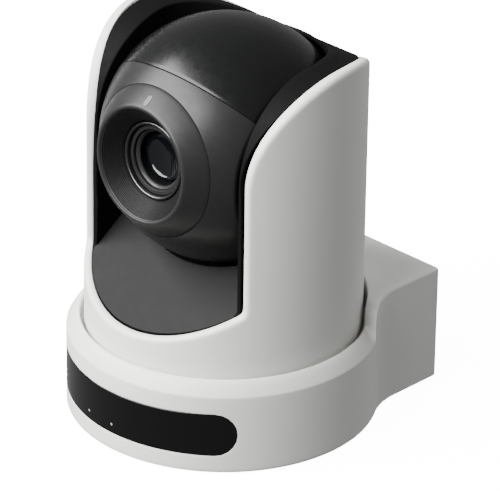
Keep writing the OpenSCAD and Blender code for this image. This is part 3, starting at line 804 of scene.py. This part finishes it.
def yoke_shell(material):
    path = rim_path()
    loop = whole_loop(path)
    normals = path_normals(path)
    left = [Vector((-n.x, n.y)) for n in normals[1:]]
    normal_loop = left[::-1] + normals
    half_pi = math.pi / 2

    def offset(distance):
        return [(p[0] + n.x * distance, p[1] + n.y * distance) for p, n in zip(loop, normal_loop)]

    def row(section):
        out = []
        for p, n in zip(loop, normal_loop):
            d, depth = section(rim_thickness(p[1]))
            out.append(on_drum(YOKE_R - depth, p[0] + n.x * d, p[1] + n.y * d, YOKE_R))
        return out

    r = RIM_OUTER_ROUND
    sections = [lambda t: (RIM_BAND, 0.0), lambda t: (r + 1.0, 0.0)]
    for i in range(7):
        a = half_pi * i / 6
        sections.append(lambda t, a=a: (r * (1 - math.sin(a)), r * (1 - math.cos(a))))
    sections.append(lambda t: (-0.06, (r + t) / 2))
    sections.append(lambda t: (0.0, t - 0.35))
    sections.append(lambda t: (0.1, t - 0.1))
    sections.append(lambda t: (0.35, t))
    sections.append(lambda t: (2.6, t))
    sections.append(lambda t: (RIM_BAND, YOKE_WALL))
    build = Build()
    build.grid([row(section) for section in sections])
    edge = offset(RIM_BAND)
    verts, faces = sheet_faces(edge, YOKE_Z0 + 0.6, 3.2)
    for radius in (YOKE_R, YOKE_R - YOKE_WALL):
        ids = build.add([on_drum(radius, s, z, YOKE_R) for s, z in verts])
        build.faces += [tuple(ids[i] for i in face) for face in faces]
    half = math.pi * YOKE_R
    across = max(8, round(2 * half / 3.2))
    lower = [mix(-half, half, i / across) for i in range(across + 1)]
    foot = [(YOKE_R, 0.6), (YOKE_R - 0.12, 0.2), (YOKE_R - 0.5, 0.0),
            (YOKE_R - YOKE_WALL + 0.3, 0.0), (YOKE_R - YOKE_WALL, 0.6)]
    build.grid([[on_drum(radius, s, YOKE_Z0 + up, YOKE_R) for s in lower] for radius, up in foot])
    obj = make_piece("yoke_shell_moulding", build, material, sharp=40.0)
    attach(obj, "yoke")
    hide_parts("yoke_shell")
    return obj


LINER_GAP = 0.15
LINER_WALL = 1.4
LINER_INSET = 1.0
EDGE_ROUND = 0.6
APRON_DROP = 1.2
FACING_STRAIGHT = 24
FACING_ARC = 40
MOUTH_STEPS = 24


def liner_radius(z):
    return YOKE_R - rim_thickness(z) - LINER_GAP


def facing_profile():
    """Side view of the liner's facing from the arm's front foot to the back: (y, z, ny, nz)."""
    y0 = -(ARM_FRONT_Y - LINER_INSET)
    low = APRON_Z - APRON_DROP + APRON_SLOPE * y0
    mid = ARM_TOP_Z - ARM_FRONT_R
    out = []
    for i in range(FACING_STRAIGHT):
        out.append((y0, mix(low, mid, i / FACING_STRAIGHT), -1.0, 0.0))
    r = ARM_FRONT_R - LINER_INSET
    y_mouth = math.sqrt(MOUTH_R ** 2 - SLOT_HALF_W ** 2)
    a_end = math.degrees(math.acos((y_mouth - ARM_CY) / r))
    for i in range(FACING_ARC):
        a = math.radians(mix(180, a_end, i / FACING_ARC))
        out.append((ARM_CY + r * math.cos(a), mid + r * math.sin(a), math.cos(a), math.sin(a)))
    first = math.degrees(math.asin(y_mouth / MOUTH_R))
    for i in range(MOUTH_STEPS + 1):
        y = MOUTH_R * math.sin(math.radians(mix(first, 90, i / MOUTH_STEPS)))
        out.append(facing_point(y))
    end = liner_radius(146)
    for i in range(1, 13):
        out.append(facing_point(mix(MOUTH_R, end, math.sin(i / 12 * math.pi / 2))))
    return out


def facing_point(y):
    z = profile_z(y, LINER_INSET)
    r = (ARM_FRONT_R if y < ARM_CY else ARM_BACK_R)
    cz = ARM_TOP_Z - r
    n = Vector((y - ARM_CY, z - cz)).normalized()
    return (y, z, n.x, n.y)


def mouth_half_width(y):
    if y <= math.sqrt(MOUTH_R ** 2 - SLOT_HALF_W ** 2) + 1e-6:
        return SLOT_HALF_W
    return math.sqrt(max(0.0, MOUTH_R ** 2 - y * y))


def edge_drop(distance):
    if distance >= EDGE_ROUND:
        return 0.0
    t = 1 - distance / EDGE_ROUND
    return EDGE_ROUND * (1 - math.sqrt(max(0.0, 1 - t * t)))


def facing_rows(side):
    """The liner's facing on one side, each row from its outer edge in to the mouth."""
    rows = []
    for y, z, ny, nz in facing_profile():
        outer = math.sqrt(max(0.0, liner_radius(z) ** 2 - y * y))
        inner = min(mouth_half_width(y), outer)
        steps = [0.0, 0.08, 0.22, 0.6]
        span = outer - inner
        xs = [inner + d for d in steps if d < span * 0.45]
        while len(xs) < 4:
            xs.append(mix(inner, outer, 0.25 + 0.1 * len(xs)))
        xs += [mix(xs[-1], outer, t) for t in (0.25, 0.5, 0.75, 1.0)]
        row = []
        for x in reversed(xs):
            edge = x - inner if inner == SLOT_HALF_W else math.hypot(x, y) - MOUTH_R
            drop = edge_drop(max(0.0, edge)) if y <= MOUTH_R + EDGE_ROUND else 0.0
            row.append((side * x, y - ny * drop, z - nz * drop))
        rows.append(row)
    return rows


def bowl_columns():
    """Places across the mouth, right half, from its side to its middle."""
    first = math.degrees(math.asin(math.sqrt(MOUTH_R ** 2 - SLOT_HALF_W ** 2) / MOUTH_R))
    return [MOUTH_R * math.cos(math.radians(mix(first, 90, i / MOUTH_STEPS)))
            for i in range(MOUTH_STEPS + 1)]


def bowl_front_angle(x):
    """Angle about the tilt axis where the bowl meets the apron, from straight down to the front."""
    r = math.sqrt(CAVITY_R ** 2 - x * x)
    low = APRON_Z - APRON_DROP - TILT_Z
    best = 0.0
    for i in range(2001):
        a = math.radians(i * 0.045)
        if -r * math.cos(a) <= low - APRON_SLOPE * r * math.sin(a):
            best = a
    return best


def bowl_rear_angle(x):
    y = math.sqrt(max(0.0, MOUTH_R ** 2 - x * x))
    up = math.sqrt(CAVITY_R ** 2 - MOUTH_R ** 2)
    return math.pi - math.atan2(y, up)


def yoke_liner(material, painted_shade_material):
    build = Build()
    right = facing_rows(1)
    left = facing_rows(-1)
    for rows in (right, left):
        build.grid(rows)
    mouth_from = FACING_STRAIGHT + FACING_ARC
    mouth_to = mouth_from + MOUTH_STEPS + 1
    floor_z = TILT_Z + math.sqrt(CAVITY_R ** 2 - MOUTH_R ** 2)
    for rows in (right, left):
        edge = [row[-1] for row in rows[mouth_from:mouth_to]]
        build.grid([edge, [(p[0], p[1], floor_z) for p in edge]])
    half = bowl_columns()
    xs = [-x for x in half[:-1]] + half[::-1]
    steps = 36
    bowl = []
    for x in xs:
        r = math.sqrt(CAVITY_R ** 2 - x * x)
        a0, a1 = bowl_front_angle(x), bowl_rear_angle(x)
        column = []
        for k in range(steps + 1):
            a = mix(-a0, a1, k / steps)
            column.append((x, r * math.sin(a), TILT_Z - r * math.cos(a)))
        bowl.append(column)
    build.grid(bowl)
    y_arm = -(ARM_FRONT_Y - LINER_INSET)
    apron = []
    reach = liner_radius(60)
    side_front = -math.sqrt(reach ** 2 - SLOT_HALF_W ** 2)
    side_back = bowl[0][0][1]
    first = (y_arm - side_front) / (side_back - side_front)
    shares = [0.0, first] + [mix(first, 1.0, k / 14) for k in range(1, 15)]
    for x, column in zip(xs, bowl):
        y_front = -math.sqrt(reach ** 2 - x * x)
        y_back = column[0][1]
        rows = [(x, y, APRON_Z - APRON_DROP + APRON_SLOPE * y)
                for y in (mix(y_front, y_back, f) for f in shares)]
        rows[-1] = column[0]
        apron.append(rows)
    build.grid(apron)
    for rows in (right, left):
        foot = rows[0]
        strip = []
        for x, _, z in foot:
            y_front = -math.sqrt(max(0.0, reach ** 2 - x * x))
            strip.append([(x, y_front, APRON_Z - APRON_DROP + APRON_SLOPE * y_front), (x, y_arm, z)])
        build.grid(strip)
    for side, rows, column, front in ((1, right, bowl[-1], apron[-1]), (-1, left, bowl[0], apron[0])):
        wall = [row[-1] for row in rows[:mouth_from + 1]]
        wall.append((side * SLOT_HALF_W, wall[-1][1], floor_z))
        wall += [(side * SLOT_HALF_W, p[1], p[2]) for p in reversed(column)][1:]
        wall += list(reversed(front))[1:-1]
        clean = [p for p, q in zip(wall, wall[1:] + wall[:1]) if (Vector(p) - Vector(q)).length > 0.01]
        ids = build.add(clean)
        build.faces.append(tuple(ids))
    obj = make_piece("yoke_liner_moulding", build, material, sharp=34.0, weld=0.02)
    thicken(obj, LINER_WALL, sharp=34.0)
    # Faces off the apron, on the arms' facings and in the cavity behind the ball, take the darker liner
    # copy: painted shade.
    obj.data.materials.append(painted_shade_material)
    for face in obj.data.polygons:
        x, z = abs(face.center.x) / MM, face.center.z / MM
        face.material_index = 0 if x < SLOT_HALF_W + 0.2 and z < APRON_Z else 1
    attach(obj, "yoke")
    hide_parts("yoke_liner")
    return obj


# ---------- head ----------

SEAM_GAP = 0.06
SEAM_BEVEL = 0.35


def ball_section(outer):
    """Half section of the ball about the tilt axis: (x, radius) from one hub to the other."""
    r = BALL_R if outer else BALL_R - SHELL_T
    w = BALL_HALF_W if outer else BALL_HALF_W - SHELL_T
    corner = math.sqrt(r * r - w * w)
    hub = 4.2
    right = [(w, hub), (w, hub + 2), (w, mix(hub, corner, 0.5)), (w, corner - 3.0), (w, corner - 0.9)]
    right += [(w - 0.05, corner - 0.45), (w - 0.22, corner - 0.08)]
    start = math.degrees(math.asin((w - 0.55) / r))
    body = []
    for i in range(49):
        a = math.radians(mix(start, -start, i / 48))
        body.append((r * math.sin(a), r * math.cos(a)))
    left = [(-x, rho) for x, rho in reversed(right)]
    return right + body + left


def section_shrunk(section, by):
    """The section drawn in along its own normals."""
    out = []
    last = len(section) - 1
    for i, (x, rho) in enumerate(section):
        a = section[max(0, i - 1)]
        b = section[min(last, i + 1)]
        t = Vector((b[0] - a[0], b[1] - a[1])).normalized()
        out.append((x + t.y * by, rho - t.x * by))
    return out


def around_x(x, rho, degrees):
    a = math.radians(degrees)
    return (x, -rho * math.cos(a), rho * math.sin(a))


def half_ball(name, material, start, end):
    outer = ball_section(True)
    inner = ball_section(False)
    bevelled = section_shrunk(outer, -SEAM_BEVEL if section_sign(outer) > 0 else SEAM_BEVEL)
    gap = math.degrees(SEAM_GAP / BALL_R)
    bevel = math.degrees(SEAM_BEVEL / BALL_R)
    mid = section_shrunk(outer, (-0.1 if section_sign(outer) > 0 else 0.1))
    angles = [(start + gap, bevelled), (start + gap + bevel * 0.3, mid), (start + gap + bevel, outer)]
    count = 90
    for i in range(1, count):
        angles.append((mix(start, end, i / count), outer))
    angles += [(end - gap - bevel, outer), (end - gap - bevel * 0.3, mid), (end - gap, bevelled)]
    build = Build()
    rows = []
    for a, section in angles:
        ring = [around_x(x, rho, a) for x, rho in section]
        ring += [around_x(x, rho, a) for x, rho in reversed(inner)]
        rows.append(ring)
    ids = build.grid(rows, closed_columns=True)
    n = len(outer)
    for row in (ids[0], ids[-1]):
        for i in range(n - 1):
            build.faces.append((row[i], row[i + 1], row[2 * n - 2 - i], row[2 * n - 1 - i]))
    obj = make_piece(name, build, material, HEAD, sharp=30.0)
    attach(obj, "head")
    return obj


def section_sign(section):
    """Positive where drawing in along the normal means a negative step."""
    x, rho = section[len(section) // 2]
    a, b = section[len(section) // 2 - 1], section[len(section) // 2 + 1]
    t = Vector((b[0] - a[0], b[1] - a[1])).normalized()
    return 1 if -t.x > 0 else -1


def ball_normals(obj, radius):
    """Sets exact ball normals on the loops that lie on the ball's outside."""
    centre = HEAD @ Vector((0, 0, 0))
    mesh = obj.data
    values = []
    for face in mesh.polygons:
        for loop in face.loop_indices:
            p = mesh.vertices[mesh.loops[loop].vertex_index].co / MM - centre
            exact = p.normalized()
            if abs(p.length - radius) < 0.03 and face.normal.dot(exact) > 0.97:
                values.append(exact)
            else:
                values.append(Vector((0, 0, 0)))
    mesh.normals_split_custom_set(values)


def head_shells(front_material, rear_material):
    front = half_ball("head_front_moulding", front_material, SPLIT_ANGLE - 180, SPLIT_ANGLE)
    build = Build()
    lathe(build, [(0.01, 20.0), (BEZEL_R + 0.15, 20.0), (BEZEL_R + 0.15, 60.0), (0.01, 60.0)], 160)
    cut(front, make_piece("bezel_cutter", build, front_material, HEAD), sharp=30.0)
    ball_normals(front, BALL_R)
    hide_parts("head_front_shell")
    rear = half_ball("head_rear_moulding", rear_material, SPLIT_ANGLE, SPLIT_ANGLE + 180)
    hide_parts("head_rear_shell")
    return front, rear


def turned(name, profile, material, node, segments=160, sharp=38.0):
    build = Build()
    lathe(build, profile, segments)
    obj = make_piece(name, build, material, HEAD, sharp=sharp)
    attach(obj, "head")
    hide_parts(node)
    return obj


def ribbed(start, end, count, depth):
    """A line from start to end with fine round ribs along it."""
    a, b = Vector(start), Vector(end)
    along = (b - a).normalized()
    side = Vector((-along.y, along.x))
    out = []
    per = 6
    for i in range(count * per + 1):
        t = i / (count * per)
        wave = 0.5 - 0.5 * math.cos(2 * math.pi * t * count)
        out.append(tuple(a.lerp(b, t) + side * depth * wave))
    return out


INNER_LENS_R = 8.6


def lens_parts(made):
    bezel = [(BEZEL_R, 38.2), (BEZEL_R, 40.1), (31.45, 40.5), (31.1, 41.05), (30.4, 41.95),
             (29.6, 42.95), (28.7, 44.05), (27.8, 45.1), (26.9, 46.1), (26.1, 46.95),
             (25.5, 47.6), (25.05, 48.05), (24.65, 48.34), (24.25, 48.48), (23.85, BEZEL_FRONT),
             (23.5, 48.42), (23.28, 48.22), (RECESS_R, 47.95)]
    bezel += ribbed((22.9, 47.6), (17.0, 41.4), 13, -0.16)
    bezel += [(16.7, 41.1), (16.45, 40.6), (16.4, 38.6), (18.6, 38.6), (24.2, 45.0),
              (29.4, 39.6), (29.4, 38.2)]
    piece = turned("lens_bezel_moulding", bezel, made["bezel"], "lens_bezel", sharp=60.0)
    piece.data.materials.append(made["recess"])
    facing_in = HEAD.inverted()
    for face in piece.data.polygons:
        p = facing_in @ (face.center / MM)
        if math.hypot(p.x, p.z) < RECESS_R - 0.2:
            face.material_index = 1
    ring = [(16.2, 38.7), (16.2, 40.9), (16.05, 41.22), (15.75, 41.4), (15.3, 41.36),
            (15.0, 41.15), (14.85, 40.75), (14.72, 39.4), (14.7, 38.7)]
    turned("lens_ring_trim", ring, made["lens_trim"], "lens_ring")
    barrel = [(14.6, -6.0), (14.6, 39.3), (14.3, 39.6), (12.9, 39.6), (12.7, 39.4),
              (12.62, 38.9), (12.6, 36.0), (12.6, -6.0)]
    turned("lens_barrel_tube", barrel, made["black_plastic"], "lens_barrel")
    retainer = [(12.5, 37.0), (12.5, 38.2), (12.35, 38.4), (12.1, 38.36), (11.5, 37.7),
                (11.22, 37.3), (11.2, 37.0)]
    turned("lens_retainer_ring", retainer, made["lens_inner"], "lens_retainer")
    dome = []
    top, radius = 36.9, 26.0
    for i in range(13):
        r = mix(12.5, INNER_LENS_R, i / 12)
        dome.append((r, top - radius + math.sqrt(radius * radius - r * r)))
    lip = dome[-1][1]
    dome.append((INNER_LENS_R - 0.1, lip - 0.25))
    for i in range(17):
        r = (INNER_LENS_R - 0.3) * (1 - i / 16)
        dome.append((max(0.01, r), lip - 2.6 + 2.3 * (r / INNER_LENS_R) ** 2))
    glass = [(0.01, 33.0), (12.3, 33.0), (12.5, 33.2)] + dome
    turned("front_lens_glass", glass, made["front_glass"], "front_lens")


# ---------- carried-over CAD nodes ----------

def dress_nodes(nodes, record, made, hidden):
    """Every CAD node that stays gets its slot's material, and a small bevel where it is seen."""
    slots = {part["node"]: part["material_slot"] for part in record["subparts"]}
    seen = ("rear_panel", "power_jack", "lan_socket", "video_socket", "usb_socket", "audio_jack",
            "serial_socket", "base_plate", "rubber_feet", "tripod_bush", "base_screws", "tally_light")
    for name, obj in nodes.items():
        if name in hidden:
            continue
        obj.data.materials.clear()
        obj.data.materials.append(made[slots[name]])
        if name in seen:
            bevel = obj.modifiers.new("edge", "BEVEL")
            bevel.width = 0.12 * MM
            bevel.segments = 2
            bevel.limit_method = "ANGLE"
            bevel.angle_limit = math.radians(40)


# ---------- stage ----------

FLOOR_Z = -0.05
FLOOR_GLOW = 14.0
AMBIENT = 0.32
KEY_AZIMUTH, KEY_ELEVATION, KEY_POWER = -28, 40, 94.0
BACK_AZIMUTH, BACK_ELEVATION, BACK_POWER = -160, 14, 13.0
AZIMUTH, ELEVATION, ROLL = 44.44, 27.15, 0.87
DISTANCE = 1790.1
AIM_Z, AIM_RIGHT, AIM_UP = 73.24, 10.55, -2.02
FOCAL_PX, WIDTH_PX, SENSOR = 4367.7, 500.0, 36.0


def camera_axes():
    a, e, r = math.radians(AZIMUTH), math.radians(ELEVATION), math.radians(ROLL)
    back = Vector((math.sin(a) * math.cos(e), -math.cos(a) * math.cos(e), math.sin(e)))
    right = Vector((math.cos(a), math.sin(a), 0))
    up = back.cross(right)
    return right * math.cos(r) + up * math.sin(r), up * math.cos(r) - right * math.sin(r), back


def make_camera():
    right, up, back = camera_axes()
    a = math.radians(AZIMUTH)
    level = Vector((math.cos(a), math.sin(a), 0))
    aim = Vector((0, 0, AIM_Z)) + level * AIM_RIGHT + back.cross(level) * AIM_UP
    turn = Matrix((right, up, back)).transposed().to_4x4()
    data = bpy.data.cameras.new("camera")
    data.sensor_width = SENSOR
    data.lens = FOCAL_PX / WIDTH_PX * SENSOR
    data.clip_start = 0.01
    data.clip_end = 50
    camera = bpy.data.objects.new("camera", data)
    bpy.context.scene.collection.objects.link(camera)
    camera.matrix_world = Matrix.Translation((aim + back * DISTANCE) * MM) @ turn
    bpy.context.scene.camera = camera


def soft_light(name, place, target, size, power, tint=(1, 1, 1)):
    data = bpy.data.lights.new(name, "AREA")
    data.shape = "RECTANGLE"
    data.size, data.size_y = size
    data.energy = power
    data.color = tint
    light = bpy.data.objects.new(name, data)
    bpy.context.scene.collection.objects.link(light)
    place, target = Vector(place), Vector(target)
    light.location = place
    light.rotation_euler = (place - target).to_track_quat("Z", "Y").to_euler()
    return light


def make_stage():
    build = Build()
    reach = 6000.0
    build.faces.append(tuple(build.add([(-reach, -reach, FLOOR_Z), (reach, -reach, FLOOR_Z),
                                        (reach, reach, FLOOR_Z), (-reach, reach, FLOOR_Z)])))
    floor_material, nodes, links, shader = new_material("floor")
    paper = noise(nodes, links, 30.0)
    links.new(two_tones(nodes, links, paper, (0.90, 0.90, 0.90), (0.92, 0.92, 0.92)),
              shader.inputs["Base Color"])
    shader.inputs["Roughness"].default_value = 0.8
    shader.inputs["Emission Color"].default_value = (1, 1, 1, 1)
    shader.inputs["Emission Strength"].default_value = FLOOR_GLOW
    floor = make_piece("floor", build, floor_material)
    floor.visible_diffuse = False
    floor.visible_glossy = False
    world = bpy.data.worlds.new("studio")
    bpy.context.scene.world = world
    world.use_nodes = True
    background = world.node_tree.nodes["Background"]
    background.inputs["Color"].default_value = (1.0, 1.0, 1.0, 1)
    background.inputs["Strength"].default_value = AMBIENT
    soft_light("key", around(KEY_AZIMUTH, KEY_ELEVATION, 1.25), (0, 0, 0.09), (1.7, 0.9), KEY_POWER)
    back = soft_light("back", around(BACK_AZIMUTH, BACK_ELEVATION, 1.4), (0, 0, 0.09), (1.2, 0.8),
                      BACK_POWER)
    back.visible_glossy = False


def around(azimuth, elevation, distance):
    """A place seen from the object at an azimuth (0 is the front, 90 the +X side), in metres."""
    a, e = math.radians(azimuth), math.radians(elevation)
    return (math.sin(a) * math.cos(e) * distance, -math.cos(a) * math.cos(e) * distance,
            math.sin(e) * distance + 0.09)


# ---------- the scene ----------

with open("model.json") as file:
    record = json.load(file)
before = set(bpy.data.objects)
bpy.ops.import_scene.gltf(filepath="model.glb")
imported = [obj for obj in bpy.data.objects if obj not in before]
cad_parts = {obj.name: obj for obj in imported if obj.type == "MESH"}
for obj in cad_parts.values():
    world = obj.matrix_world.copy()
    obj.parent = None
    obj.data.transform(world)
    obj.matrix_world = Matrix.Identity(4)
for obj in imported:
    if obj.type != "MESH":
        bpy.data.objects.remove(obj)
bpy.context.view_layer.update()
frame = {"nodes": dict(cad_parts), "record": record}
made = make_materials()
make_camera()
make_stage()
base_housing(made["white_shell"])
ir_window(made["window"])
status_marks(made["status_light"])
yoke_shell(made["white_shell"])
yoke_liner(made["liner_grey"], made["painted_shade_liner"])
head_shells(made["head_front"], made["head_rear"])
lens_parts(made)
replaced = {"base_housing", "ir_window", "status_lights", "yoke_shell", "yoke_liner", "head_front_shell",
            "head_rear_shell", "lens_bezel", "lens_ring", "lens_barrel", "lens_retainer", "front_lens"}
dress_nodes(frame["nodes"], frame["record"], made, replaced)
